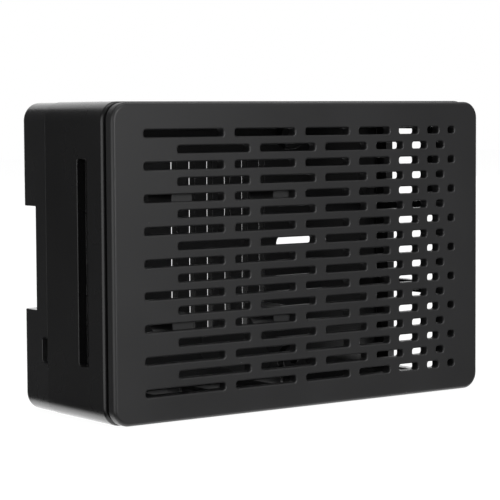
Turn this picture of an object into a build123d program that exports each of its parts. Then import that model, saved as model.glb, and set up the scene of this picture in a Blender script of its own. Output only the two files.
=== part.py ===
from build123d import *
import os

# Single board computer case, stood on its long side with the grille facing -Y.
# X is the width, Y runs from the grille to the back wall, Z is up.
# The origin is under the middle of the case, level with the frame's lower wall.
# Heights called drops are measured down from the top of what they belong to.

# Lid
LID_WIDTH = 92.5
LID_HEIGHT = 61.5
LID_CORNER = 3.4
LID_PLATE = 2.0
LID_BAND = 2.3
LID_EDGE_ROUND = 0.7
SHADOW_GAP = 0.9
NECK_INSET = 1.2
PLUG_LENGTH = 4.0
PLUG_WALL = 1.2
PLUG_CLEARANCE = 0.25
PLUG_BEVEL = 0.4

# Snap beads on the plug
BEAD_LENGTH = 12.0
BEAD_SPACING = 44.0
BEAD_ROUND = 0.6
BEAD_CLEARANCE = 0.05
BEAD_SETBACK = 1.5

# Grille
VENT_CORNER_CUT = 0.35
ROW_COUNT = 17
ROW_PITCH = 3.106
SLOT_HEIGHT = 1.45
SLOT_GAP = 2.7
GRILLE_MARGIN = 7.1
EVEN_ROW_SHIFT = 7.7
ODD_ROW_SLOTS = (18.6, 14.8, 11.2, 8.1, 5.1, 3.0, 1.7)
EVEN_ROW_SLOTS = (17.1, 13.7, 10.7, 7.1, 3.9, 2.0)

# Fan posts behind the grille
FAN_POST_SPACING = 24.5
FAN_POST_DIAMETER = 4.8
FAN_POST_LENGTH = 8.2
FAN_PILOT_DIAMETER = 2.1
FAN_PILOT_DEPTH = 6.5
FAN_CENTER_FROM_LEFT = 29.2

# Frame and base shells: both are a little larger than the lid
BODY_PROUD = 0.25
WALL = 2.0
FRAME_DEPTH = 21.2
BASE_DEPTH = 9.2
BASE_STEP = 0.1
BASE_FLOOR = 2.0
FRAME_EDGE_ROUND = 0.7
BASE_EDGE_ROUND = 1.2
LAP_LENGTH = 2.5
LAP_THICKNESS = 0.9
LAP_CLEARANCE = 0.1

# Board that the case is made for
BOARD_LENGTH = 85.0
BOARD_HEIGHT = 56.0
BOARD_THICKNESS = 1.4
BOARD_DROP = 0.8
BOARD_BEHIND_SPLIT = 3.6
BOARD_HOLE_INSET = 3.5
BOARD_HOLE_SPACING_X = 58.0
BOARD_HOLE_SPACING_Z = 49.0
POST_DIAMETER = 6.0
POST_PILOT_DIAMETER = 2.2
POST_PILOT_DEPTH = 2.8

# Openings for the sockets at the right, measured from the board's upper edge
NETWORK_DROP = 10.4
UPPER_USB_DROP = 28.85
LOWER_USB_DROP = 47.1
NETWORK_WIDTH = 16.4
UPPER_USB_WIDTH = 14.0
LOWER_USB_WIDTH = 17.2
NETWORK_HEIGHT = 13.6
USB_HEIGHT = 16.2
NETWORK_RELIEF = 0.15
USB_RELIEF = -0.35
SOCKET_CORNER = 0.5

# Openings for the sockets underneath, measured from the board's left edge
POWER_FROM_LEFT = 11.2
VIDEO_FROM_LEFT = (26.0, 39.5)
AUDIO_FROM_LEFT = 54.0
POWER_WIDTH = 11.4
VIDEO_WIDTH = 10.6
AUDIO_WIDTH = 8.0
LOW_SOCKET_HEIGHT = 4.4
AUDIO_HEIGHT = 6.8
LOW_SOCKET_RELIEF = 1.2

# Left wall
SIDE_SLOT_LENGTH = 40.1
SIDE_SLOT_WIDTH = 3.6
SIDE_SLOT_SETBACK = 5.6
SIDE_SLOT_CORNER = 0.6
LIGHT_WINDOW_LENGTH = 5.2
LIGHT_WINDOW_DEPTH = 2.1
LIGHT_WINDOW_DROP = 46.3
LIGHT_WINDOW_CORNER = 0.8
CARD_RECESS_LENGTH = 20.7
CARD_RECESS_DEPTH = 5.0
CARD_RECESS_REACH = 9.0
CARD_RECESS_CORNER = 1.0

# Back wall
SLIT_COUNT = 6
SLIT_PITCH = 4.6
SLIT_WIDTH = 1.4
SLIT_LENGTH = 16.9
CENTER_BAR = 3.6
WALL_SLOT_SPACING = 46.0
WALL_SLOT_LENGTH = 14.0
WALL_SLOT_WIDTH = 4.0

# A cutter starts and ends this far outside what it cuts.
CUT_MARGIN = 1.0
SHARP = 0.1

# Places that follow from the sizes above
CASE_DEPTH = LID_BAND + SHADOW_GAP + FRAME_DEPTH + BASE_DEPTH
FRONT = -CASE_DEPTH / 2
BACK = CASE_DEPTH / 2
CENTER_Z = LID_HEIGHT / 2 + BODY_PROUD
LID_TOP_Z = CENTER_Z + LID_HEIGHT / 2
LEFT = -LID_WIDTH / 2
NECK_START = FRONT + LID_BAND
FRAME_START = NECK_START + SHADOW_GAP
SPLIT = FRAME_START + FRAME_DEPTH
FLOOR = BACK - BASE_FLOOR
INNER_INSET = WALL - BODY_PROUD
PLUG_INSET = INNER_INSET + PLUG_CLEARANCE
LID_INNER_INSET = PLUG_INSET + PLUG_WALL
PLUG_END = FRAME_START + PLUG_LENGTH
LAP_INSET = INNER_INSET - LAP_THICKNESS
BODY_SIDE = LID_WIDTH / 2 + BODY_PROUD
BOARD_CENTER_Z = CENTER_Z - BOARD_DROP
BOARD_TOP_Z = BOARD_CENTER_Z + BOARD_HEIGHT / 2
BOARD_LEFT = -BOARD_LENGTH / 2
BOARD_FACE = SPLIT + BOARD_BEHIND_SPLIT
BOARD_SEAT = BOARD_FACE + BOARD_THICKNESS


def rounded(width, height, radius):
    """A rectangle with round corners, however small the rectangle gets."""
    limit = min(width, height) / 2 - SHARP
    return RectangleRounded(width, height, max(min(radius, limit), SHARP))


def cut_corners(width, height, cut):
    """A rectangle with small 45 degree corners, which keeps the many vents simple."""
    limit = min(width, height) / 2 - SHARP
    return chamfer(Rectangle(width, height).vertices(), max(min(cut, limit), SHARP))


def slab(shape, start, end):
    """Extrude a sketch that is drawn in X and Z, from Y start to Y end."""
    return extrude(Plane.XZ.offset(-end) * shape, amount=end - start)


def outline(inset):
    """The lid's outline seen from the front, moved inwards by inset."""
    shape = rounded(LID_WIDTH - 2 * inset, LID_HEIGHT - 2 * inset, LID_CORNER - inset)
    return Pos(0, CENTER_Z) * shape


def ring(outer_inset, inner_inset, start, end):
    """A wall that follows the outline, between two insets."""
    return slab(outline(outer_inset) - outline(inner_inset), start, end)


def side_cut(y_start, y_end, z_start, z_end, x_start, x_end, radius):
    """A cutter with round corners that runs along X through a side wall."""
    shape = rounded(y_end - y_start, z_end - z_start, radius)
    plane = Plane.YZ.offset(x_start)
    center = Pos((y_start + y_end) / 2, (z_start + z_end) / 2)
    return extrude(plane * center * shape, amount=x_end - x_start)


def floor_cut(x_center, width, y_start, y_end):
    """A cutter that runs along Z through the lower wall."""
    shape = cut_corners(width, y_end - y_start, VENT_CORNER_CUT)
    plane = Plane.XY.offset(-CUT_MARGIN)
    height = WALL + 2 * CUT_MARGIN
    return extrude(plane * Pos(x_center, (y_start + y_end) / 2) * shape, amount=height)


def row_slots(lengths, start, z):
    """One row of the grille: slots that get shorter from left to right."""
    row = []
    x = start
    for length in lengths:
        shape = cut_corners(length, SLOT_HEIGHT, VENT_CORNER_CUT)
        row.append(Pos(x + length / 2, z) * shape)
        x += length + SLOT_GAP
    return row


def grille_slots():
    """All the slots, with every second row shifted to the right."""
    top_row_z = CENTER_Z + (ROW_COUNT - 1) / 2 * ROW_PITCH
    slots = []
    for row in range(ROW_COUNT):
        z = top_row_z - row * ROW_PITCH
        start = LEFT + GRILLE_MARGIN
        if row % 2 == 0:
            slots += row_slots(ODD_ROW_SLOTS, start, z)
        else:
            slots += row_slots(EVEN_ROW_SLOTS, start + EVEN_ROW_SHIFT, z)
    return slots


def fan_places():
    """The four fan post centres, as X and Z."""
    half = FAN_POST_SPACING / 2
    center_x = LEFT + FAN_CENTER_FROM_LEFT
    return [(center_x + sx * half, CENTER_Z + sz * half) for sx in (-1, 1) for sz in (-1, 1)]


def snap_beads():
    """Half-round beads on the long sides of the plug, just clear of the frame."""
    proud = PLUG_CLEARANCE - BEAD_CLEARANCE
    y = PLUG_END - BEAD_SETBACK
    beads = []
    for side in (-1, 1):
        face_z = CENTER_Z + side * (LID_HEIGHT / 2 - PLUG_INSET)
        z = face_z - side * (BEAD_ROUND - proud)
        for x in (-BEAD_SPACING / 2, BEAD_SPACING / 2):
            bead = Cylinder(BEAD_ROUND, BEAD_LENGTH, rotation=(0, 90, 0))
            beads.append(Pos(x, y, z) * bead)
    return beads


def make_lid():
    """Slotted plate, outer band, narrow neck, plug and fan posts in one moulding."""
    lid = slab(outline(0), FRONT, NECK_START)
    front_edges = lid.edges().group_by(Axis.Y)[0]
    lid = fillet(front_edges, LID_EDGE_ROUND)
    lid += slab(outline(NECK_INSET), NECK_START, FRAME_START)
    plug = slab(outline(PLUG_INSET), FRAME_START, PLUG_END)
    plug = chamfer(plug.edges().group_by(Axis.Y)[-1], PLUG_BEVEL)
    lid += plug
    for bead in snap_beads():
        lid += bead
    lid -= slab(outline(LID_INNER_INSET), FRONT + LID_PLATE, PLUG_END + CUT_MARGIN)
    cutters = Sketch() + grille_slots()
    lid -= slab(cutters, FRONT - CUT_MARGIN, FRONT + LID_PLATE)
    post_end = FRONT + LID_PLATE + FAN_POST_LENGTH
    for x, z in fan_places():
        lid += slab(Pos(x, z) * Circle(FAN_POST_DIAMETER / 2), FRONT + LID_PLATE, post_end)
        pilot = Pos(x, z) * Circle(FAN_PILOT_DIAMETER / 2)
        lid -= slab(pilot, post_end - FAN_PILOT_DEPTH, post_end + CUT_MARGIN)
    return lid


def right_sockets():
    """Cutters for the network and double USB sockets, across the split line."""
    sizes = [
        (NETWORK_DROP, NETWORK_WIDTH, NETWORK_HEIGHT, NETWORK_RELIEF),
        (UPPER_USB_DROP, UPPER_USB_WIDTH, USB_HEIGHT, USB_RELIEF),
        (LOWER_USB_DROP, LOWER_USB_WIDTH, USB_HEIGHT, USB_RELIEF),
    ]
    cutters = []
    for drop, width, height, relief in sizes:
        z = BOARD_TOP_Z - drop
        cutters.append(side_cut(BOARD_FACE - height, BOARD_FACE + relief, z - width / 2, z + width / 2,
                                BODY_SIDE - WALL - CUT_MARGIN, BODY_SIDE + CUT_MARGIN, SOCKET_CORNER))
    return cutters


def lower_sockets():
    """Cutters for the power, video and audio sockets, across the split line."""
    sizes = [(POWER_FROM_LEFT, POWER_WIDTH, LOW_SOCKET_HEIGHT)]
    sizes += [(place, VIDEO_WIDTH, LOW_SOCKET_HEIGHT) for place in VIDEO_FROM_LEFT]
    sizes += [(AUDIO_FROM_LEFT, AUDIO_WIDTH, AUDIO_HEIGHT)]
    cutters = []
    for place, width, height in sizes:
        x = BOARD_LEFT + place
        cutters.append(floor_cut(x, width, BOARD_FACE - height, BOARD_FACE + LOW_SOCKET_RELIEF))
    return cutters


def make_frame():
    """The ring of walls between the lid and the base, with its openings."""
    frame = slab(outline(-BODY_PROUD), FRAME_START, SPLIT)
    frame = fillet(frame.edges().group_by(Axis.Y)[0], FRAME_EDGE_ROUND)
    frame -= slab(outline(INNER_INSET), FRAME_START - CUT_MARGIN, SPLIT + CUT_MARGIN)
    rebate_start = SPLIT - LAP_LENGTH - LAP_CLEARANCE
    frame -= slab(outline(LAP_INSET - LAP_CLEARANCE), rebate_start, SPLIT + CUT_MARGIN)
    slot_start = FRAME_START + SIDE_SLOT_SETBACK
    frame -= side_cut(slot_start, slot_start + SIDE_SLOT_WIDTH,
                      CENTER_Z - SIDE_SLOT_LENGTH / 2, CENTER_Z + SIDE_SLOT_LENGTH / 2,
                      -BODY_SIDE - CUT_MARGIN, -BODY_SIDE + WALL + CUT_MARGIN, SIDE_SLOT_CORNER)
    for cutter in right_sockets() + lower_sockets():
        frame -= cutter
    return frame


def board_posts():
    """The four board post centres, as X and Z."""
    left = BOARD_LEFT + BOARD_HOLE_INSET
    low = BOARD_CENTER_Z - BOARD_HOLE_SPACING_Z / 2
    places = []
    for x in (left, left + BOARD_HOLE_SPACING_X):
        for z in (low, low + BOARD_HOLE_SPACING_Z):
            places.append((x, z))
    return places


def back_slits():
    """Two groups of upright slits, above and below a solid bar."""
    slits = []
    for index in range(SLIT_COUNT):
        x = (index - (SLIT_COUNT - 1) / 2) * SLIT_PITCH
        for side in (-1, 1):
            z = CENTER_Z + side * (CENTER_BAR + SLIT_LENGTH) / 2
            slits.append(Pos(x, z) * Rectangle(SLIT_WIDTH, SLIT_LENGTH))
    return slits


def wall_slots():
    """Two long holes in the back wall that screw heads hang in."""
    length = max(WALL_SLOT_LENGTH, WALL_SLOT_WIDTH + SHARP)
    hole = SlotOverall(length, WALL_SLOT_WIDTH)
    return [Pos(side * WALL_SLOT_SPACING / 2, CENTER_Z) * hole for side in (-1, 1)]


def light_window():
    """A notch for the board's lights in the front edge of the left wall."""
    top = LID_TOP_Z - LIGHT_WINDOW_DROP
    return side_cut(SPLIT - LAP_LENGTH - CUT_MARGIN, SPLIT + LIGHT_WINDOW_DEPTH,
                    top - LIGHT_WINDOW_LENGTH, top,
                    -BODY_SIDE - CUT_MARGIN, -BODY_SIDE + WALL + CUT_MARGIN, LIGHT_WINDOW_CORNER)


def card_recess():
    """A finger recess for the memory card, out of the left and back walls."""
    height = CARD_RECESS_LENGTH
    shape = rounded(2 * CARD_RECESS_REACH, height, CARD_RECESS_CORNER)
    place = Pos(-BODY_SIDE, CENTER_Z)
    return slab(place * shape, BACK - CARD_RECESS_DEPTH, BACK + CUT_MARGIN)


def make_base():
    """The shallow back shell that the board is screwed to."""
    base = slab(outline(BASE_STEP - BODY_PROUD), SPLIT, BACK)
    base = fillet(base.edges().group_by(Axis.Y)[-1], BASE_EDGE_ROUND)
    base += ring(LAP_INSET, INNER_INSET, SPLIT - LAP_LENGTH, SPLIT)
    base -= slab(outline(INNER_INSET), SPLIT - LAP_LENGTH - CUT_MARGIN, FLOOR)
    for x, z in board_posts():
        base += slab(Pos(x, z) * Circle(POST_DIAMETER / 2), BOARD_SEAT, FLOOR)
        pilot = Pos(x, z) * Circle(POST_PILOT_DIAMETER / 2)
        base -= slab(pilot, BOARD_SEAT - CUT_MARGIN, BOARD_SEAT + POST_PILOT_DEPTH)
    back_holes = Sketch() + back_slits() + wall_slots()
    base -= slab(back_holes, FLOOR - CUT_MARGIN, BACK + CUT_MARGIN)
    base -= card_recess()
    base -= light_window()
    for cutter in right_sockets() + lower_sockets():
        base -= cutter
    return base


def main():
    os.makedirs("parts", exist_ok=True)
    parts = {
        "grille_lid": make_lid(),
        "middle_frame": make_frame(),
        "base_shell": make_base(),
    }
    for name, shape in parts.items():
        solids = shape.solids()
        print(name, len(solids), "solid,", round(shape.volume / 1000, 2), "cm3")
        export_step(solids[0] if len(solids) == 1 else Compound(children=solids), f"parts/{name}.step")


main()
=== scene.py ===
# %% [markdown]
# # A single board computer case
#
# The object is a small black plastic case for a bare computer board. It has three mouldings: a front
# lid with a slotted grille, a frame that makes the side walls, and a shallow base behind it. It stands
# on one long side, empty, in front of a white background.
#
# The CAD model is loaded as a fixed frame. It already has the right sizes, so the work here is finish:
# soft edges that catch the light, round slot corners, moulded plastic, and a studio like the photo's.
# Blender works in metres here, and the sizes of the case are written in millimetres.

# %% Load the frame
import math

import bmesh
import bpy
from mathutils import Matrix, Vector


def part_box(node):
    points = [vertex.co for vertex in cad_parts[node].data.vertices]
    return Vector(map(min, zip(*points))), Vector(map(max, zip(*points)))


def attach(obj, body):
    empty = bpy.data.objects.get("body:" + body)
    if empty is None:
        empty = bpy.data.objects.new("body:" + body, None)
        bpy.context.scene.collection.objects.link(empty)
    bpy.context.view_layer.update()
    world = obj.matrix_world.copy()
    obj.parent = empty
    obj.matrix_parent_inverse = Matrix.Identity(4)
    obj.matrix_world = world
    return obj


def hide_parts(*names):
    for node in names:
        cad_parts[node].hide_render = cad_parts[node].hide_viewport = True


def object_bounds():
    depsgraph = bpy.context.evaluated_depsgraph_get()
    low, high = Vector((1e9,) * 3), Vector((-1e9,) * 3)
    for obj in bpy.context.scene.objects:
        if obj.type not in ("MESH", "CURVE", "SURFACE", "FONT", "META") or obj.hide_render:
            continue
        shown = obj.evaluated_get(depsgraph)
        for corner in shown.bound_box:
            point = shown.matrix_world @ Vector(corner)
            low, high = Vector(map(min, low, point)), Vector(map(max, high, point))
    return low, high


MM = 0.001
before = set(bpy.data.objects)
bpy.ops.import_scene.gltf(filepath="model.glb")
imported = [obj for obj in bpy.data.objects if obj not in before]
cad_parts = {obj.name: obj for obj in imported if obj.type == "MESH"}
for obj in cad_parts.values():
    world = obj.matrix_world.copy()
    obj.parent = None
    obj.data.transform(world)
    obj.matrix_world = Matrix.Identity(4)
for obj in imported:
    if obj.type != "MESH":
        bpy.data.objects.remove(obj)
cad_low, cad_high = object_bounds()
case_size = (cad_high - cad_low) / MM
print("case, mm:", [round(side, 2) for side in case_size])

# %% [markdown]
# ## Places that the other cells share
#
# The lid's box gives the outline of the grille, and the frame's box says where the frame starts and
# how far it stands proud of the lid. Each value is in millimetres, in the CAD's own directions: X to
# the right, Y away from the grille and Z up.

# %% Read the places from the CAD
def box_in_mm(node):
    """The lowest and highest corner of a CAD node, in millimetres."""
    low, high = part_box(node)
    return Vector(low) / MM, Vector(high) / MM


lid_low, lid_high = box_in_mm("grille_lid")
frame_low = box_in_mm("middle_frame")[0]
LID_WIDTH = lid_high.x - lid_low.x
LID_HEIGHT = lid_high.z - lid_low.z
CENTER_Z = (lid_low.z + lid_high.z) / 2
FRONT = lid_low.y
FRAME_START = frame_low.y
PLUG_END = lid_high.y
BODY_PROUD = lid_low.x - frame_low.x
print("front", round(FRONT, 2), "frame starts", round(FRAME_START, 2), "plug ends", round(PLUG_END, 2))

# %% [markdown]
# ## The camera
#
# The camera comes first, because every later choice is judged through it. The photo was taken from
# the front left with a long lens, a little above the case. Four numbers describe that: the angle
# round the case, the angle down, the distance and the focal length. A small roll is left over from a
# hand-held or cropped photo.

# %% Make the camera
CAMERA_ANGLE = math.radians(36.27)
CAMERA_DROP = math.radians(3.92)
CAMERA_ROLL = math.radians(-0.33)
CAMERA_DISTANCE = 416.9 * MM
CAMERA_TARGET = Vector((-0.77, 1.8, 31.1)) * MM
SENSOR_WIDTH = 36.0
FOCAL_LENGTH = 143.74

view_direction = Vector((math.sin(CAMERA_ANGLE) * math.cos(CAMERA_DROP),
                         math.cos(CAMERA_ANGLE) * math.cos(CAMERA_DROP),
                         -math.sin(CAMERA_DROP)))
camera_data = bpy.data.cameras.new("photo_camera")
camera_data.sensor_width = SENSOR_WIDTH
camera_data.lens = FOCAL_LENGTH
camera = bpy.data.objects.new("photo_camera", camera_data)
bpy.context.collection.objects.link(camera)
camera.location = CAMERA_TARGET - view_direction * CAMERA_DISTANCE
level_view = view_direction.to_track_quat("-Z", "Y").to_matrix()
camera.rotation_euler = (level_view @ Matrix.Rotation(CAMERA_ROLL, 3, "Z")).to_euler()
bpy.context.scene.camera = camera
print("camera at, mm:", [round(v / MM, 1) for v in camera.location])

# %% [markdown]
# ## Sums inside node trees
#
# Materials and Geometry Nodes are both trees of nodes, and each sum in them is a Math node. Written
# by hand, one short formula takes a dozen lines. The class below lets Python's own +, -, * and /
# make those nodes, so that a formula in a tree reads like a formula.

# %% Helpers for node trees
def add_node(tree, kind, inputs=None, **settings):
    """Adds a node, sets its settings, and fills its inputs with values or with links."""
    new = tree.nodes.new(kind)
    for name, value in settings.items():
        setattr(new, name, value)
    for name, value in (inputs or {}).items():
        source = value.socket if isinstance(value, Number) else value
        if isinstance(source, bpy.types.NodeSocket):
            tree.links.new(source, new.inputs[name])
        else:
            new.inputs[name].default_value = source
    return new


class Number:
    """A number inside a node tree. A sum with it adds a Math node."""

    def __init__(self, tree, socket):
        self.tree = tree
        self.socket = socket

    def math(self, operation, other=0.0):
        new = add_node(self.tree, "ShaderNodeMath", {0: self, 1: other}, operation=operation)
        return Number(self.tree, new.outputs[0])

    def __add__(self, other):
        return self.math("ADD", other)

    def __sub__(self, other):
        return self.math("SUBTRACT", other)

    def __mul__(self, other):
        return self.math("MULTIPLY", other)

    def __truediv__(self, other):
        return self.math("DIVIDE", other)


trial = bpy.data.node_groups.new("trial", "ShaderNodeTree")
start = Number(trial, add_node(trial, "ShaderNodeValue").outputs[0])
result = (start + 1.0) * 0.5
print("(start + 1) * 0.5 took", len(trial.nodes), "nodes and ends in", result.socket.node.name)
bpy.data.node_groups.remove(trial)

# %% [markdown]
# ## Moulded black plastic
#
# The real plastic is dyed black all through and moulded against a finely etched tool, so it is
# neither glossy nor flat: it has a soft sheen, broken up by a grain too fine to see one by one. A
# noise bump at a fifth of a millimetre gives the grain. A slow noise varies the roughness and the
# colour a little, as handling and the flow of the plastic do. A few pale specks of dust lie on it.
#
# Photographed black plastic is darker than it seems. Most of the grey that the lid shows is a mirror
# image of the lamps, blurred by the etching, so the colours below are close to black and the
# roughness does the rest. The lid is duller than the frame and the base behind it.

# %% Make a plastic for each moulding
GRAIN_PER_M = 5200.0
GRAIN_DETAIL = 2.0
GRAIN_HEIGHT = 0.012 * MM
GRAIN_STRENGTH = 0.5
CLOUD_PER_M = 45.0
CLOUD_DETAIL = 3.0
CLOUD_MIDDLE = 0.5
COLOR_SPREAD = 0.35
ROUGHNESS_SPREAD = 0.16
DUST_PER_M = 420.0
DUST_RADIUS = 0.045
CLEAN_SHARE = 0.93
BLUE_TINT = 1.04
PLASTIC_IOR = 1.5
PLASTIC_SPECULAR = 0.4


def moulded_plastic(name, color, roughness, dust):
    """A dyed, finely etched plastic. color is one grey level, and dust is how pale its specks are."""
    material = bpy.data.materials.new(name)
    material.use_nodes = True
    tree = material.node_tree
    shader = tree.nodes["Principled BSDF"]
    place = add_node(tree, "ShaderNodeTexCoord").outputs["Object"]

    cloud = add_node(tree, "ShaderNodeTexNoise",
                     {"Vector": place, "Scale": CLOUD_PER_M, "Detail": CLOUD_DETAIL})
    cloud = Number(tree, cloud.outputs["Fac"])
    grain = add_node(tree, "ShaderNodeTexNoise",
                     {"Vector": place, "Scale": GRAIN_PER_M, "Detail": GRAIN_DETAIL})
    speck = add_node(tree, "ShaderNodeTexVoronoi", {"Vector": place, "Scale": DUST_PER_M})
    lot = add_node(tree, "ShaderNodeSeparateColor", {"Color": speck.outputs["Color"]})
    chosen_cell = Number(tree, lot.outputs[0]).math("GREATER_THAN", CLEAN_SHARE)
    near = Number(tree, speck.outputs["Distance"]).math("LESS_THAN", DUST_RADIUS)
    dusty = near * chosen_cell * dust

    grey = (cloud - CLOUD_MIDDLE) * (color * COLOR_SPREAD) + color + dusty
    tone = add_node(tree, "ShaderNodeCombineColor", {"Red": grey, "Green": grey, "Blue": grey * BLUE_TINT})
    tree.links.new(tone.outputs["Color"], shader.inputs["Base Color"])
    shine = (cloud - CLOUD_MIDDLE) * ROUGHNESS_SPREAD + roughness
    tree.links.new(shine.socket, shader.inputs["Roughness"])
    bump = add_node(tree, "ShaderNodeBump", {"Height": grain.outputs["Fac"], "Distance": GRAIN_HEIGHT,
                                             "Strength": GRAIN_STRENGTH})
    tree.links.new(bump.outputs["Normal"], shader.inputs["Normal"])
    shader.inputs["IOR"].default_value = PLASTIC_IOR
    shader.inputs["Specular IOR Level"].default_value = PLASTIC_SPECULAR
    return material


lid_plastic = moulded_plastic("lid_black", color=0.0175, roughness=0.42, dust=0.10)
frame_plastic = moulded_plastic("frame_black", color=0.011, roughness=0.26, dust=0.04)
base_plastic = moulded_plastic("base_black", color=0.018, roughness=0.26, dust=0.04)
print("materials:", [m.name for m in (lid_plastic, frame_plastic, base_plastic)])

# %% [markdown]
# ## Round rectangles, the one rule behind the lid
#
# The lid's outline, its neck, its plug and each of its slots are rectangles with round corners. One
# rule makes them all: walk round a circle as large as the corners in four equal shares, and push each
# share out to its own corner of a smaller rectangle. Outlines with the same number of points can be
# joined with faces, like the hoops of a barrel.

# %% Walk round a rectangle with round corners
def round_rectangle(half_width, half_height, radius, steps):
    """Points round a rectangle with round corners, steps + 1 of them in each corner."""
    points = []
    for corner in range(4):
        middle = math.radians(90 * corner + 45)
        corner_x = math.copysign(half_width - radius, math.cos(middle))
        corner_z = math.copysign(half_height - radius, math.sin(middle))
        for step in range(steps + 1):
            angle = math.radians(90 * (corner + step / steps))
            points.append((corner_x + radius * math.cos(angle), corner_z + radius * math.sin(angle)))
    return points


print("points round a slot:", len(round_rectangle(half_width=4, half_height=1, radius=0.5, steps=4)))

# %% [markdown]
# ## The grille, made with Geometry Nodes
#
# The grille is what people see first: 17 rows of slots that get shorter to the right, with every
# second row shifted. Each slot has round corners and a soft front lip, because a sharp edge on a
# moulding would be brittle and would not catch the light.
#
# A Boolean modifier could cut the slots, but it leaves ragged edges that a bevel then spoils. Here
# nothing is cut. A point marks the middle of each slot and carries its length. Geometry Nodes put a
# tube on each point, round its lip and stretch it to that length without changing its corners. Then
# they fill the plate between the tubes, front and back.

# %% Mark the slots with points
ROW_COUNT = 17
ROW_PITCH = 3.106
SLOT_GAP = 2.7
GRILLE_MARGIN = 7.1
EVEN_ROW_SHIFT = 7.7
ODD_ROW_SLOTS = (18.6, 14.8, 11.2, 8.1, 5.1, 3.0, 1.7)
EVEN_ROW_SLOTS = (17.1, 13.7, 10.7, 7.1, 3.9, 2.0)


def slot_places():
    """The middle of each slot and its length, measured from the middle of the lid."""
    places = []
    for row in range(ROW_COUNT):
        height = ((ROW_COUNT - 1) / 2 - row) * ROW_PITCH
        odd = row % 2 == 0
        x = GRILLE_MARGIN - LID_WIDTH / 2 + (0 if odd else EVEN_ROW_SHIFT)
        for length in (ODD_ROW_SLOTS if odd else EVEN_ROW_SLOTS):
            places.append(((x + length / 2, height, 0), length))
            x += length + SLOT_GAP
    return places


slots = slot_places()
grille_mesh = bpy.data.meshes.new("grille_points")
grille_mesh.from_pydata([place for place, length in slots], [], [])
length_layer = grille_mesh.attributes.new("slot_length", "FLOAT", "POINT")
for index, (place, length) in enumerate(slots):
    length_layer.data[index].value = length
grille_points = bpy.data.objects.new("grille_points", grille_mesh)
bpy.context.collection.objects.link(grille_points)
print("slots:", len(slots))

# %% Start the tree and name its inputs
tree = bpy.data.node_groups.new("slotted_plate", "GeometryNodeTree")
tree.is_modifier = True
tree_inputs = {
    "Geometry": "NodeSocketGeometry",
    "Slot Height": "NodeSocketFloat",
    "Slot Corner": "NodeSocketFloat",
    "Lip Round": "NodeSocketFloat",
    "Thickness": "NodeSocketFloat",
    "Front Width": "NodeSocketFloat",
    "Front Height": "NodeSocketFloat",
    "Front Corner": "NodeSocketFloat",
    "Back Width": "NodeSocketFloat",
    "Back Height": "NodeSocketFloat",
    "Back Corner": "NodeSocketFloat",
    "Plastic": "NodeSocketMaterial",
}
for name, kind in tree_inputs.items():
    tree.interface.new_socket(name, in_out="INPUT", socket_type=kind)
tree.interface.new_socket("Geometry", in_out="OUTPUT", socket_type="NodeSocketGeometry")
group_in = add_node(tree, "NodeGroupInput")
group_out = add_node(tree, "NodeGroupOutput")


def given(name):
    """One of the tree's own inputs, as a number."""
    return Number(tree, group_in.outputs[name])


print("inputs:", len(tree_inputs))

# %% [markdown]
# ## The walk again, in nodes
#
# This is the same walk as in Python. There a loop knew its corner and its step, but a node only knows
# a point's number in its loop. Divided by the number of points in a corner, that number splits into a
# whole part, which is the corner, and a rest, which is how far round the corner the point lies.

# %% The walk round a rectangle, as nodes
def named(name, kind="FLOAT"):
    """A value that each point carries."""
    reader = add_node(tree, "GeometryNodeInputNamedAttribute", {"Name": name}, data_type=kind)
    return Number(tree, reader.outputs["Attribute"])


def walk(count_index, half_width, half_height, radius, grown, steps):
    """X and Y of a point on a round rectangle. grown moves it outwards, and count_index counts the points."""
    per_corner = steps + 1
    corner = (count_index / per_corner).math("FLOOR")
    share = (count_index - corner * per_corner) / steps
    angle = (corner + share) * (math.pi / 2)
    middle = (corner + 0.5) * (math.pi / 2)
    side_x = middle.math("COSINE").math("SIGN")
    side_y = middle.math("SINE").math("SIGN")
    reach = radius + grown
    x = side_x * (half_width - radius) + angle.math("COSINE") * reach
    y = side_y * (half_height - radius) + angle.math("SINE") * reach
    return x, y


def at(x, y, z):
    """A place made of three numbers."""
    combined = add_node(tree, "ShaderNodeCombineXYZ", {"X": x, "Y": y, "Z": z})
    return combined.outputs["Vector"]


def constant(value):
    """A plain number as a Number, so that a sum can start with it."""
    new = add_node(tree, "ShaderNodeValue")
    new.outputs[0].default_value = value
    return Number(tree, new.outputs[0])


print("nodes so far:", len(tree.nodes))

# %% [markdown]
# ## The tubes
#
# A tube starts as a flat grid. Each column of the grid stands for a place round the slot, and each
# ring for a depth: the first rings turn the soft lip, and the last one lies at the back of the plate.
# Every point of the grid is told its column and its ring before the grid is copied to the slots, and
# every slot's point is told its place. So each copied point knows all that it needs to find its own
# place on the tube.

# %% One tube for each slot
LIP_STEPS = 3
SLOT_CORNER_STEPS = 4

tube_columns = 4 * (SLOT_CORNER_STEPS + 1)
tube_rings = LIP_STEPS + 2
sheet = add_node(tree, "GeometryNodeMeshGrid", {"Vertices X": tube_columns + 1, "Vertices Y": tube_rings})
sheet_place = add_node(tree, "GeometryNodeInputPosition").outputs[0]
sheet_split = add_node(tree, "ShaderNodeSeparateXYZ", {"Vector": sheet_place})
around = (Number(tree, sheet_split.outputs["X"]) + 0.5) * tube_columns
ring = (Number(tree, sheet_split.outputs["Y"]) + 0.5) * (tube_rings - 1)
marked = add_node(tree, "GeometryNodeStoreNamedAttribute",
                  {"Geometry": sheet.outputs["Mesh"], "Name": "column", "Value": around.math("ROUND")})
marked = add_node(tree, "GeometryNodeStoreNamedAttribute",
                  {"Geometry": marked.outputs["Geometry"], "Name": "ring", "Value": ring.math("ROUND")})
middle_place = add_node(tree, "GeometryNodeInputPosition").outputs[0]
points = add_node(tree, "GeometryNodeStoreNamedAttribute",
                  {"Geometry": group_in.outputs["Geometry"], "Name": "slot_middle", "Value": middle_place},
                  data_type="FLOAT_VECTOR")
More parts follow.
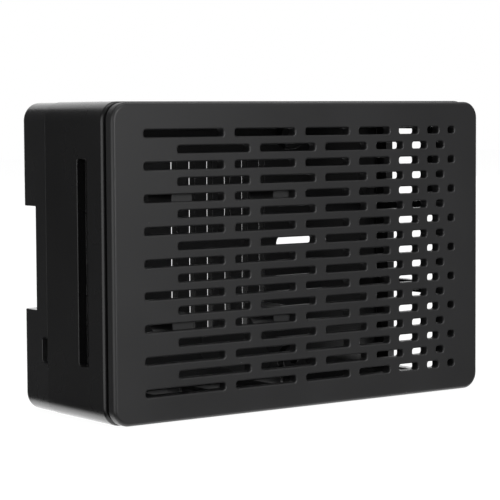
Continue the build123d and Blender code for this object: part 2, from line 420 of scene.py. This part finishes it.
placed = add_node(tree, "GeometryNodeInstanceOnPoints",
                  {"Points": points.outputs["Geometry"], "Instance": marked.outputs["Geometry"]})
tubes = add_node(tree, "GeometryNodeRealizeInstances", {"Geometry": placed.outputs["Instances"]})

column = named("column").math("MODULO", tube_columns)
ring = named("ring")
lip_angle = (ring / LIP_STEPS).math("MINIMUM", 1.0) * (math.pi / 2)
past_lip = ring.math("GREATER_THAN", LIP_STEPS + 0.5)
grown = given("Lip Round") * (constant(1.0) - lip_angle.math("SINE"))
depth = given("Lip Round") * (constant(1.0) - lip_angle.math("COSINE"))
depth = depth + past_lip * (given("Thickness") - given("Lip Round"))
slot_x, slot_y = walk(column, named("slot_length") / 2, given("Slot Height") / 2, given("Slot Corner"),
                      grown, SLOT_CORNER_STEPS)
slot_middle = add_node(tree, "ShaderNodeSeparateXYZ", {"Vector": named("slot_middle", "FLOAT_VECTOR")})
slot_x = slot_x + Number(tree, slot_middle.outputs["X"])
slot_y = slot_y + Number(tree, slot_middle.outputs["Y"])
tubes = add_node(tree, "GeometryNodeSetPosition",
                 {"Geometry": tubes.outputs["Geometry"], "Position": at(slot_x, slot_y, depth * -1.0)})
print("tube faces:", tube_columns * (tube_rings - 1))

# %% [markdown]
# The plate's flat faces are filled between loops. Each tube's first ring is the slot's mouth in the
# front face, and its last ring is the mouth at the back. Fill Curve treats the outer loop as the edge
# and the loops inside it as holes. It fills in the flat, so each face is moved to its depth after it.

# %% Fill the plate between the slots
OUTLINE_CORNER_STEPS = 10
SAME_PLACE = 0.0005
COMPARE_EPSILON = 12
RING_MARGIN = 0.1


def plate_face(ring_number, width, height, corner, drop):
    """A flat face with a hole for each slot. drop moves it from the front, where it is filled."""
    on_ring = add_node(tree, "FunctionNodeCompare",
                       {0: named("ring"), 1: float(ring_number), COMPARE_EPSILON: RING_MARGIN},
                       data_type="FLOAT", operation="EQUAL")
    mouths = add_node(tree, "GeometryNodeMeshToCurve",
                      {"Mesh": tubes.outputs["Geometry"], "Selection": on_ring.outputs[0]})
    loop = add_node(tree, "GeometryNodeMeshCircle", {"Vertices": 4 * (OUTLINE_CORNER_STEPS + 1)})
    loop_index = Number(tree, add_node(tree, "GeometryNodeInputIndex").outputs[0])
    x, y = walk(loop_index, width / 2, height / 2, corner, 0.0, OUTLINE_CORNER_STEPS)
    loop = add_node(tree, "GeometryNodeSetPosition",
                    {"Geometry": loop.outputs["Mesh"], "Position": at(x, y, 0.0)})
    edge = add_node(tree, "GeometryNodeMeshToCurve", {"Mesh": loop.outputs["Geometry"]})
    both = add_node(tree, "GeometryNodeJoinGeometry")
    tree.links.new(mouths.outputs["Curve"], both.inputs[0])
    tree.links.new(edge.outputs["Curve"], both.inputs[0])
    filled = add_node(tree, "GeometryNodeFillCurve", {0: both.outputs[0]})
    return add_node(tree, "GeometryNodeSetPosition",
                    {"Geometry": filled.outputs["Mesh"], "Offset": at(0.0, 0.0, drop)})


front_face = plate_face(0, given("Front Width"), given("Front Height"), given("Front Corner"), 0.0)
back_face = plate_face(tube_rings - 1, given("Back Width"), given("Back Height"), given("Back Corner"),
                       given("Thickness") * -1.0)
back_face = add_node(tree, "GeometryNodeFlipFaces", {"Mesh": back_face.outputs["Geometry"]})
whole = add_node(tree, "GeometryNodeJoinGeometry")
for piece in (tubes.outputs["Geometry"], front_face.outputs["Geometry"], back_face.outputs["Mesh"]):
    tree.links.new(piece, whole.inputs[0])
welded = add_node(tree, "GeometryNodeMergeByDistance",
                  {"Geometry": whole.outputs[0], "Distance": SAME_PLACE})
stood_up = add_node(tree, "GeometryNodeTransform",
                    {"Geometry": welded.outputs["Geometry"], "Translation": (0, FRONT * MM, CENTER_Z * MM),
                     "Rotation": (math.pi / 2, 0, 0), "Scale": (MM, MM, MM)})
real = add_node(tree, "GeometryNodeRealizeInstances", {"Geometry": stood_up.outputs["Geometry"]})
dressed = add_node(tree, "GeometryNodeSetMaterial",
                   {"Geometry": real.outputs["Geometry"], "Material": group_in.outputs["Plastic"]})
tree.links.new(dressed.outputs["Geometry"], group_out.inputs["Geometry"])
print("nodes in the tree:", len(tree.nodes))

# %% Run the tree on the points
SLOT_HEIGHT = 1.45
SLOT_CORNER = 0.5
LIP_ROUND = 0.3
PLATE_THICKNESS = 2.0
LID_CORNER = 3.4
LID_EDGE_ROUND = 0.7
WALL = 2.0
PLUG_CLEARANCE = 0.25
PLUG_WALL = 1.2

INNER_INSET = WALL - BODY_PROUD
PLUG_INSET = INNER_INSET + PLUG_CLEARANCE
LID_INNER_INSET = PLUG_INSET + PLUG_WALL

tree_values = {
    "Slot Height": SLOT_HEIGHT,
    "Slot Corner": SLOT_CORNER,
    "Lip Round": LIP_ROUND,
    "Thickness": PLATE_THICKNESS,
    "Front Width": LID_WIDTH - 2 * LID_EDGE_ROUND,
    "Front Height": LID_HEIGHT - 2 * LID_EDGE_ROUND,
    "Front Corner": LID_CORNER - LID_EDGE_ROUND,
    "Back Width": LID_WIDTH - 2 * LID_INNER_INSET,
    "Back Height": LID_HEIGHT - 2 * LID_INNER_INSET,
    "Back Corner": LID_CORNER - LID_INNER_INSET,
    "Plastic": lid_plastic,
}


def plain_mesh(obj, name):
    """What an object's modifiers make, as a new mesh."""
    depsgraph = bpy.context.evaluated_depsgraph_get()
    mesh = bpy.data.meshes.new_from_object(obj.evaluated_get(depsgraph), depsgraph=depsgraph)
    mesh.name = name
    return mesh


modifier = grille_points.modifiers.new("slotted_plate", "NODES")
modifier.node_group = tree
for item in tree.interface.items_tree:
    if item.in_out == "INPUT" and item.name in tree_values:
        modifier[item.identifier] = tree_values[item.name]
plate_mesh = plain_mesh(grille_points, "slotted_plate")
bpy.data.objects.remove(grille_points)
print("plate:", len(plate_mesh.vertices), "points,", len(plate_mesh.polygons), "faces")

# %% [markdown]
# ## The rest of the lid
#
# Round the grille the lid is a stack of round rectangles: the soft front edge, the band, the narrow
# neck that makes the dark line behind the band, and the plug that goes into the frame. Each is
# listed as an inset and a depth, in the order in which a fingertip would run over them, and the
# hoops are joined with faces. Small extra hoops soften the corners between them.

# %% Join hoops into a wall
SHARP = 0.1


def hoops(profile, corner):
    """A wall through hoops of the lid's outline. profile lists (inset, y), one for each hoop."""
    shell = bmesh.new()
    rings = []
    for inset, y in profile:
        loop = round_rectangle(LID_WIDTH / 2 - inset, LID_HEIGHT / 2 - inset,
                               max(corner - inset, SHARP), OUTLINE_CORNER_STEPS)
        rings.append([shell.verts.new(Vector((x, y, CENTER_Z + z)) * MM) for x, z in loop])
    for first, second in zip(rings, rings[1:]):
        for index in range(len(first)):
            after = (index + 1) % len(first)
            shell.faces.new((first[index], first[after], second[after], second[index]))
    return shell


def quarter(inset_from, y_from, inset_to, y_to, steps, bulge):
    """Points on a quarter round between two places. bulge says which measure changes first."""
    points = []
    for step in range(steps + 1):
        angle = math.radians(90 * step / steps)
        share_a, share_b = 1 - math.cos(angle), math.sin(angle)
        if bulge == "inset_first":
            share_a, share_b = share_b, share_a
        points.append((inset_from + (inset_to - inset_from) * share_a, y_from + (y_to - y_from) * share_b))
    return points


print("a quarter round:", [(round(a, 2), round(b, 2)) for a, b in quarter(0, 0, 1, 1, 2, "y_first")])

# %% Make the band, the neck and the plug
LID_BAND = 2.3
NECK_INSET = 1.2
PLUG_BEVEL = 0.4
SOFT = 0.15
SOFT_STEPS = 2
EDGE_STEPS = 4

NECK_START = FRONT + LID_BAND
PLATE_BACK = FRONT + PLATE_THICKNESS

profile = quarter(LID_EDGE_ROUND, FRONT, 0, FRONT + LID_EDGE_ROUND, EDGE_STEPS, "inset_first")
profile += quarter(0, NECK_START - SOFT, SOFT, NECK_START, SOFT_STEPS, "y_first")
profile += [(NECK_INSET, NECK_START), (NECK_INSET, FRAME_START), (PLUG_INSET, FRAME_START)]
profile += [(PLUG_INSET, PLUG_END - PLUG_BEVEL), (PLUG_INSET + PLUG_BEVEL, PLUG_END)]
profile += quarter(LID_INNER_INSET - SOFT, PLUG_END, LID_INNER_INSET, PLUG_END - SOFT, SOFT_STEPS,
                   "inset_first")
profile += [(LID_INNER_INSET, PLATE_BACK)]
lid_shell = hoops(profile, LID_CORNER)
print("hoops:", len(profile), "faces:", len(lid_shell.faces))

# %% [markdown]
# Behind the grille stand four round posts for a fan's screws, with a pilot hole in each. Two half
# round beads on each long side of the plug snap into the frame. Both are turned shapes: a post is a
# profile turned round its axis, and a bead is a short rod.

# %% Turn a profile round an axis
TURN_STEPS = 32


def turned(shell, profile, middle, axis):
    """Adds a turned shape to shell. profile lists (radius, distance along the axis)."""
    across = Vector((0, 0, 1)) if axis == "Y" else Vector((0, 1, 0))
    along = Vector((0, 1, 0)) if axis == "Y" else Vector((1, 0, 0))
    other = along.cross(across)
    rings = []
    for radius, distance in profile:
        ring_points = []
        for step in range(TURN_STEPS):
            angle = 2 * math.pi * step / TURN_STEPS
            offset = across * math.cos(angle) * radius + other * math.sin(angle) * radius
            ring_points.append(shell.verts.new((Vector(middle) + offset + along * distance) * MM))
        rings.append(ring_points)
    for first, second in zip(rings, rings[1:]):
        for index in range(TURN_STEPS):
            after = (index + 1) % TURN_STEPS
            shell.faces.new((first[index], first[after], second[after], second[index]))
    shell.faces.new(rings[0])
    shell.faces.new(rings[-1])


print("steps in a turn:", TURN_STEPS)

# %% Add the fan posts
FAN_POST_SPACING = 24.5
FAN_POST_RADIUS = 2.4
FAN_POST_LENGTH = 8.2
FAN_PILOT_RADIUS = 1.05
FAN_PILOT_DEPTH = 6.5
FAN_CENTER_FROM_LEFT = 29.2
SUNK = 0.05

post_profile = [(FAN_POST_RADIUS, -SUNK), (FAN_POST_RADIUS, FAN_POST_LENGTH - SOFT),
                (FAN_POST_RADIUS - SOFT, FAN_POST_LENGTH), (FAN_PILOT_RADIUS + SOFT, FAN_POST_LENGTH),
                (FAN_PILOT_RADIUS, FAN_POST_LENGTH - SOFT),
                (FAN_PILOT_RADIUS, FAN_POST_LENGTH - FAN_PILOT_DEPTH)]
fan_center_x = FAN_CENTER_FROM_LEFT - LID_WIDTH / 2
for side_x in (-1, 1):
    for side_z in (-1, 1):
        middle = (fan_center_x + side_x * FAN_POST_SPACING / 2, PLATE_BACK,
                  CENTER_Z + side_z * FAN_POST_SPACING / 2)
        turned(lid_shell, post_profile, middle, "Y")
print("faces with the posts:", len(lid_shell.faces))

# %% Add the snap beads
BEAD_LENGTH = 12.0
BEAD_SPACING = 44.0
BEAD_RADIUS = 0.6
BEAD_CLEARANCE = 0.05
BEAD_SETBACK = 1.5

bead_profile = [(BEAD_RADIUS - SOFT, -BEAD_LENGTH / 2), (BEAD_RADIUS, SOFT - BEAD_LENGTH / 2),
                (BEAD_RADIUS, BEAD_LENGTH / 2 - SOFT), (BEAD_RADIUS - SOFT, BEAD_LENGTH / 2)]
bead_reach = LID_HEIGHT / 2 - INNER_INSET - BEAD_CLEARANCE - BEAD_RADIUS
for side_x in (-1, 1):
    for side_z in (-1, 1):
        middle = (side_x * BEAD_SPACING / 2, PLUG_END - BEAD_SETBACK, CENTER_Z + side_z * bead_reach)
        turned(lid_shell, bead_profile, middle, "X")
print("faces with the beads too:", len(lid_shell.faces))

# %% [markdown]
# The grille and its surround share their outer points, so they are welded into one closed skin. Faces
# that meet at more than 40 degrees keep a crisp edge, and all others are shaded smooth. Smooth
# shading alone would bend the light on the large flat faces, because each corner takes the mean of
# its faces. The Weighted Normal modifier lets the large faces win, so that they stay flat and only
# the narrow rounds between them turn. A last pass then sets the corners of each face that looks
# straight along X, Y or Z to the face's own direction, because even a slight lean shows as a streak
# in a blurred mirror image.

# %% Weld the lid and put it in place
CRISP_EDGE = math.radians(40)
STRAIGHT = 0.99999
FACE_WEIGHT = 100


def press_flat(mesh):
    """Makes each face that looks straight along X, Y or Z shade as a true flat."""
    normals = [Vector(normal.vector) for normal in mesh.corner_normals]
    for polygon in mesh.polygons:
        if max(abs(part) for part in polygon.normal) > STRAIGHT:
            for loop in polygon.loop_indices:
                normals[loop] = polygon.normal
    mesh.normals_split_custom_set(normals)


def finish_piece(shell, name, material, body, node):
    """Turns a bmesh into a finished piece that stands for a CAD node."""
    bmesh.ops.remove_doubles(shell, verts=shell.verts, dist=SAME_PLACE * MM)
    bmesh.ops.recalc_face_normals(shell, faces=shell.faces)
    mesh = bpy.data.meshes.new(name)
    shell.to_mesh(mesh)
    open_edges = sum(1 for edge in shell.edges if len(edge.link_faces) != 2)
    shell.free()
    mesh.materials.clear()
    mesh.materials.append(material)
    for polygon in mesh.polygons:
        polygon.material_index = 0
        polygon.use_smooth = True
    mesh.set_sharp_from_angle(angle=CRISP_EDGE)
    piece = bpy.data.objects.new(name, mesh)
    bpy.context.collection.objects.link(piece)
    flat_faces = piece.modifiers.new("flat_faces", "WEIGHTED_NORMAL")
    flat_faces.keep_sharp = True
    flat_faces.weight = FACE_WEIGHT
    piece.data = plain_mesh(piece, name)
    piece.modifiers.clear()
    press_flat(piece.data)
    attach(piece, body)
    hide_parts(node)
    print(name, "faces:", len(mesh.polygons), "open edges:", open_edges)


lid_shell.from_mesh(plate_mesh)
finish_piece(lid_shell, "slotted_lid", lid_plastic, "lid", "grille_lid")

# %% [markdown]
# ## The frame and the base
#
# The CAD shapes of these two need hardly any change, but their edges are knife sharp. On a real
# moulding each edge has a small round, which shows as a thin bright line. A welded copy of the CAD
# mesh gets a narrow bevel on every edge that turns by more than 35 degrees. Clamp Overlap is off,
# because one short edge anywhere would shrink all the bevels, and their bright lines with them.

# %% Soften a copy of a CAD node
BEVEL_WIDTH = 0.16 * MM
BEVEL_SEGMENTS = 2
BEVEL_ANGLE = math.radians(35)
FLAT_ANGLE = math.radians(0.5)
WELD = 0.002 * MM


def softened(node, name, material, body, mend=None):
    """Makes a copy of a CAD node with narrow bevels, to stand for it. mend corrects the copy first."""
    shell = bmesh.new()
    shell.from_mesh(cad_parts[node].data)
    if mend:
        mend(shell)
    bmesh.ops.remove_doubles(shell, verts=shell.verts, dist=WELD)
    bmesh.ops.dissolve_limit(shell, angle_limit=FLAT_ANGLE, verts=shell.verts, edges=shell.edges)
    mesh = bpy.data.meshes.new(name)
    shell.to_mesh(mesh)
    shell.free()
    draft = bpy.data.objects.new(name + "_draft", mesh)
    bpy.context.collection.objects.link(draft)
    bevel = draft.modifiers.new("soft_edges", "BEVEL")
    bevel.limit_method = "ANGLE"
    bevel.angle_limit = BEVEL_ANGLE
    bevel.width = BEVEL_WIDTH
    bevel.segments = BEVEL_SEGMENTS
    bevel.use_clamp_overlap = False
    rounded = bmesh.new()
    rounded.from_mesh(plain_mesh(draft, name + "_rounded"))
    bpy.data.objects.remove(draft)
    finish_piece(rounded, name, material, body, node)


print("bevel, mm:", round(BEVEL_WIDTH / MM, 2))

# %% [markdown]
# Thin white lines show where the photo looks through the slits in the back wall. They are a hair to
# the right of where an even pattern would put them, and a hair thinner, so the slits' corners are
# moved by that much. In the same way the bar under the uppermost opening of the right wall is moved
# up a little, because the photo shows white just below it and none just above it. Moving corners is
# enough, because the faces between them follow.

# %% Move the slits and the bar a little
NEAR = 0.01
SLIT_PITCH = 4.6
SLIT_PAIRS = 6
SLIT_WIDTH = 1.4
SLITS_LOW, SLITS_HIGH = 12, 50
SLIT_SHIFT = 0.45
SLIT_TRIM = 0.04
BAR_LOW, BAR_HIGH = 35.8, 40.15
BAR_SHIFT = 0.85
base_high = box_in_mm("base_shell")[1]


def move_slits(shell):
    """Shifts the corners of the six pairs of slits along X, and narrows each slit a little."""
    moved = 0
    for vert in shell.verts:
        x, y, z = vert.co / MM
        step = x / SLIT_PITCH + 0.5
        aside = (step - round(step)) * SLIT_PITCH
        on_side = abs(abs(aside) - SLIT_WIDTH / 2) < NEAR and abs(x) < SLIT_PAIRS / 2 * SLIT_PITCH
        in_back_wall = y > base_high.y - WALL - NEAR and SLITS_LOW < z < SLITS_HIGH
        if on_side and in_back_wall:
            vert.co.x += (SLIT_SHIFT - math.copysign(SLIT_TRIM, aside)) * MM
            moved += 1
    print("slit corners moved:", moved)


def move_bar(shell):
    """Shifts the corners of the bar between the two upper openings of the right wall up along Z."""
    moved = 0
    for vert in shell.verts:
        x, y, z = vert.co / MM
        if x > base_high.x - WALL - NEAR and BAR_LOW < z < BAR_HIGH:
            vert.co.z += BAR_SHIFT * MM
            moved += 1
    print("bar corners moved:", moved)


def move_both(shell):
    """Shifts the slits and the bar in the base."""
    move_slits(shell)
    move_bar(shell)


softened("middle_frame", "wall_frame", frame_plastic, "frame", move_bar)
softened("base_shell", "back_shell", base_plastic, "base", move_both)

# %% [markdown]
# ## The studio
#
# The photo has a plain white background with hardly any shadow. A real white room would also light
# the object from all sides, and black plastic in it turns grey. Light Path tells a shader which kind
# of ray has reached it, so one floor can do three jobs. To the camera it is white, and it keeps a
# faint shadow. In the soft light that it throws up at the case it is a dull grey. To a mirror image in
# the plastic it is a glowing sheet of paper that lies under, behind and beside the case. Such a sheet
# is what makes the lower edges of a glossy object fade into the background in a product photo.

# %% Lay the floor
FLOOR_SIZE = 4.0
FLOOR_DROP = 0.02 * MM

bpy.ops.mesh.primitive_plane_add(size=FLOOR_SIZE, location=(0, 0, cad_low.z - FLOOR_DROP))
floor = bpy.context.object
floor.name = "studio_floor"
print("floor, m:", FLOOR_SIZE)

# %% [markdown]
# The sheet's outline matters, because the left wall mirrors the floor behind it on the left, and that
# has to stay dark. So the sheet covers all that is right of the case's left side and behind its front,
# with a margin of two millimetres. The lower ends of the upright front edges mirror the floor to the
# left, so a wedge of the sheet opens out that way too, from the front left corner.

# %% Draw the sheet on the floor
SHEET_FADE = 2 * MM
SHEET_MARGIN = 2 * MM
WEDGE_FADE = 6 * MM
WEDGE_SHARE = 0.8
WEDGE_BACK_SLOPE = 0.7
WEDGE_FRONT_SLOPE = 0.84

floor_paint = bpy.data.materials.new("floor_paint")
floor_paint.use_nodes = True
floor.data.materials.append(floor_paint)
floor_tree = floor_paint.node_tree
floor_tree.nodes.clear()
floor_place = add_node(floor_tree, "ShaderNodeTexCoord").outputs["Object"]
floor_split = add_node(floor_tree, "ShaderNodeSeparateXYZ", {"Vector": floor_place})
past_left = Number(floor_tree, floor_split.outputs["X"]) - (cad_low.x - SHEET_MARGIN)
past_front = Number(floor_tree, floor_split.outputs["Y"]) - (cad_low.y - SHEET_MARGIN)
to_left = past_left * -1.0


def inside(first, second, fade):
    """1 where two distances past an edge are both positive, and 0 elsewhere, with a soft border."""
    return (first.math("MINIMUM", second) / fade).math("MAXIMUM", 0.0).math("MINIMUM", 1.0)


behind = inside(past_left, past_front, SHEET_FADE)
wedge = inside(to_left * WEDGE_BACK_SLOPE - past_front, to_left + past_front * WEDGE_FRONT_SLOPE, WEDGE_FADE)
on_sheet = behind.math("MAXIMUM", wedge * WEDGE_SHARE)
print("sheet margin, mm:", round(SHEET_MARGIN / MM, 2))

# %% Paint the floor
FLOOR_GREY = 0.15
FLOOR_SHADOW = 0.15
FLOOR_WHITE = 0.97
SHEET_GLOW = 2.0


def paint(grey):
    """A flat grey paint for the floor."""
    return add_node(floor_tree, "ShaderNodeBsdfDiffuse", {"Color": (grey, grey, grey, 1)}).outputs[0]


path = add_node(floor_tree, "ShaderNodeLightPath")
mirrored, to_camera, passed_through = [Number(floor_tree, path.outputs[kind])
                                       for kind in ("Is Glossy Ray", "Is Camera Ray", "Is Transmission Ray")]
glow = add_node(floor_tree, "ShaderNodeEmission",
                {"Strength": mirrored * (SHEET_GLOW - FLOOR_WHITE) + FLOOR_WHITE})
white_floor = add_node(floor_tree, "ShaderNodeAddShader", {0: paint(FLOOR_SHADOW), 1: glow.outputs[0]})
white_share = (on_sheet * mirrored + to_camera + passed_through).math("MINIMUM", 1.0)
floor_look = add_node(floor_tree, "ShaderNodeMixShader",
                      {"Fac": white_share, 1: paint(FLOOR_GREY), 2: white_floor.outputs[0]})
add_node(floor_tree, "ShaderNodeOutputMaterial", {"Surface": floor_look.outputs[0]})
print("floor nodes:", len(floor_tree.nodes))

# %% [markdown]
# The world behind it is treated the same way: white to the camera and through clear things, and dim
# to all else, where it only fills the deepest shadows.

# %% Fill the world
WORLD_LEVEL = 0.1

world = bpy.data.worlds.new("studio_world")
bpy.context.scene.world = world
world.use_nodes = True
world_tree = world.node_tree
world_tree.nodes.clear()
dim = add_node(world_tree, "ShaderNodeBackground", {"Color": (1, 1, 1, 1), "Strength": WORLD_LEVEL})
white = add_node(world_tree, "ShaderNodeBackground", {"Color": (1, 1, 1, 1), "Strength": 1.0})
path = add_node(world_tree, "ShaderNodeLightPath")
seen_share = Number(world_tree, path.outputs["Is Camera Ray"])
seen_share = seen_share + Number(world_tree, path.outputs["Is Transmission Ray"])
backdrop = add_node(world_tree, "ShaderNodeMixShader",
                    {"Fac": seen_share, 1: dim.outputs[0], 2: white.outputs[0]})
add_node(world_tree, "ShaderNodeOutputWorld", {"Surface": backdrop.outputs[0]})
print("world level:", WORLD_LEVEL)

# %% [markdown]
# A black object is shaped by what it mirrors, so each lamp is a large soft rectangle, placed where one
# of its faces or edges mirrors it. Its brightness is given as that of its own face, where 1 is white.
# The key lamp shines on the grille and fades to the right. The left lamp draws the bright lines along
# the edges. The top lamp and the side card keep the upper edges from going black, and the back card
# stands for the bright backdrop that the rear edges mirror.

# %% Hang the lamps
def soft_lamp(name, azimuth, elevation, distance, width, height, glow):
    """An area lamp, aimed at the middle of the case. glow is how bright its face is, where 1 is white."""
    data = bpy.data.lights.new(name, "AREA")
    data.shape = "RECTANGLE"
    data.size = width
    data.size_y = height
    data.energy = glow * math.pi * width * height
    lamp = bpy.data.objects.new(name, data)
    bpy.context.collection.objects.link(lamp)
    middle = Vector((0, 0, CENTER_Z * MM))
    around, up = math.radians(azimuth), math.radians(elevation)
    aim = Vector((-math.sin(around) * math.cos(up), math.cos(around) * math.cos(up), -math.sin(up)))
    lamp.location = middle - aim * distance
    lamp.rotation_euler = aim.to_track_quat("-Z", "Y").to_euler()
    return lamp


key_lamp = soft_lamp("key_lamp", azimuth=6, elevation=10, distance=1.2, width=0.5, height=0.5, glow=10.9)
left_lamp = soft_lamp("left_lamp", azimuth=-76, elevation=8, distance=1.0, width=1.3, height=0.5, glow=1.8)
top_lamp = soft_lamp("top_lamp", azimuth=-10, elevation=80, distance=1.1, width=0.8, height=0.8, glow=3.0)
back_card = soft_lamp("back_card", azimuth=155, elevation=18, distance=1.3, width=1.4, height=1.0, glow=1.5)
side_card = soft_lamp("side_card", azimuth=85, elevation=48, distance=1.3, width=1.2, height=0.9, glow=0.8)
bpy.context.scene.view_settings.view_transform = "Standard"
print("lamps:", [lamp.name for lamp in (key_lamp, left_lamp, top_lamp, back_card, side_card)])
